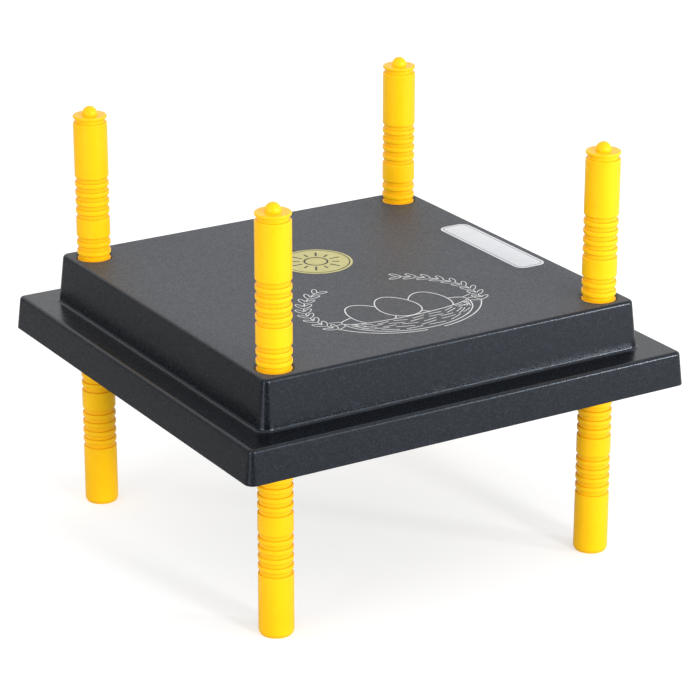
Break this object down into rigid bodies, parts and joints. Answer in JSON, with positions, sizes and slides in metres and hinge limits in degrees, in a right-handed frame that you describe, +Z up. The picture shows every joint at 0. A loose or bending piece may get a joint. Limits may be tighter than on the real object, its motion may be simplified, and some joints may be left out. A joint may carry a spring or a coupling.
{
  "type": "brooder heat plate",
  "caption": "Square two-tier heat plate for chicks on grooved posts that slide through its corners to set its height and hold by spring clips.",
  "frame": {"origin": "on the floor, under the middle of the plate", "axes": "+Z up; -Y is the front, the long edge that faces right in the picture; +X to the right"},
  "size_m": [0.25, 0.25, 0.2172],
  "materials": {
    "black_abs": "satin",
    "black_abs_base": "matte",
    "seal_rubber": "matte",
    "screw_steel": "satin",
    "spreader_aluminium": "satin",
    "cable_silicone": "satin",
    "cutout_case": "satin",
    "block_plastic": "satin",
    "terminal_brass": "satin",
    "mat_felt": "matte",
    "gland_nylon": "satin",
    "clip_steel": "polished",
    "yellow_plastic": "satin"
  },
  "bodies": {
    "plate": {"top_cover": "black_abs", "base_plate": "black_abs_base", "base_seal": "seal_rubber", "base_screws": "screw_steel", "heat_spreader": "spreader_aluminium", "heating_cable": "cable_silicone", "thermal_cutout": "cutout_case", "cutout_lead": "cable_silicone", "terminal_block": "block_plastic", "terminal_screws": "terminal_brass", "insulation_mat": "mat_felt", "cord_gland": "gland_nylon", "gland_nut": "gland_nylon", "leg_clip_front_left": "clip_steel", "leg_clip_front_right": "clip_steel", "leg_clip_rear_left": "clip_steel", "leg_clip_rear_right": "clip_steel"},
    "leg_front_left": {"leg_post_front_left": "yellow_plastic", "leg_cap_front_left": "yellow_plastic"},
    "leg_front_right": {"leg_post_front_right": "yellow_plastic", "leg_cap_front_right": "yellow_plastic"},
    "leg_rear_left": {"leg_post_rear_left": "yellow_plastic", "leg_cap_rear_left": "yellow_plastic"},
    "leg_rear_right": {"leg_post_rear_right": "yellow_plastic", "leg_cap_rear_right": "yellow_plastic"}
  },
  "joints": [
    {"name": "leg_slide_front_left", "type": "slide", "parent": "plate", "child": "leg_front_left", "axis": [0, 0, 1], "range_m": [-0.073, 0.073], "deforming": ["leg_clip_front_left"]},
    {"name": "leg_slide_front_right", "type": "slide", "parent": "plate", "child": "leg_front_right", "axis": [0, 0, 1], "range_m": [-0.073, 0.073], "deforming": ["leg_clip_front_right"]},
    {"name": "leg_slide_rear_left", "type": "slide", "parent": "plate", "child": "leg_rear_left", "axis": [0, 0, 1], "range_m": [-0.073, 0.073], "deforming": ["leg_clip_rear_left"]},
    {"name": "leg_slide_rear_right", "type": "slide", "parent": "plate", "child": "leg_rear_right", "axis": [0, 0, 1], "range_m": [-0.073, 0.073], "deforming": ["leg_clip_rear_right"]}
  ]
}
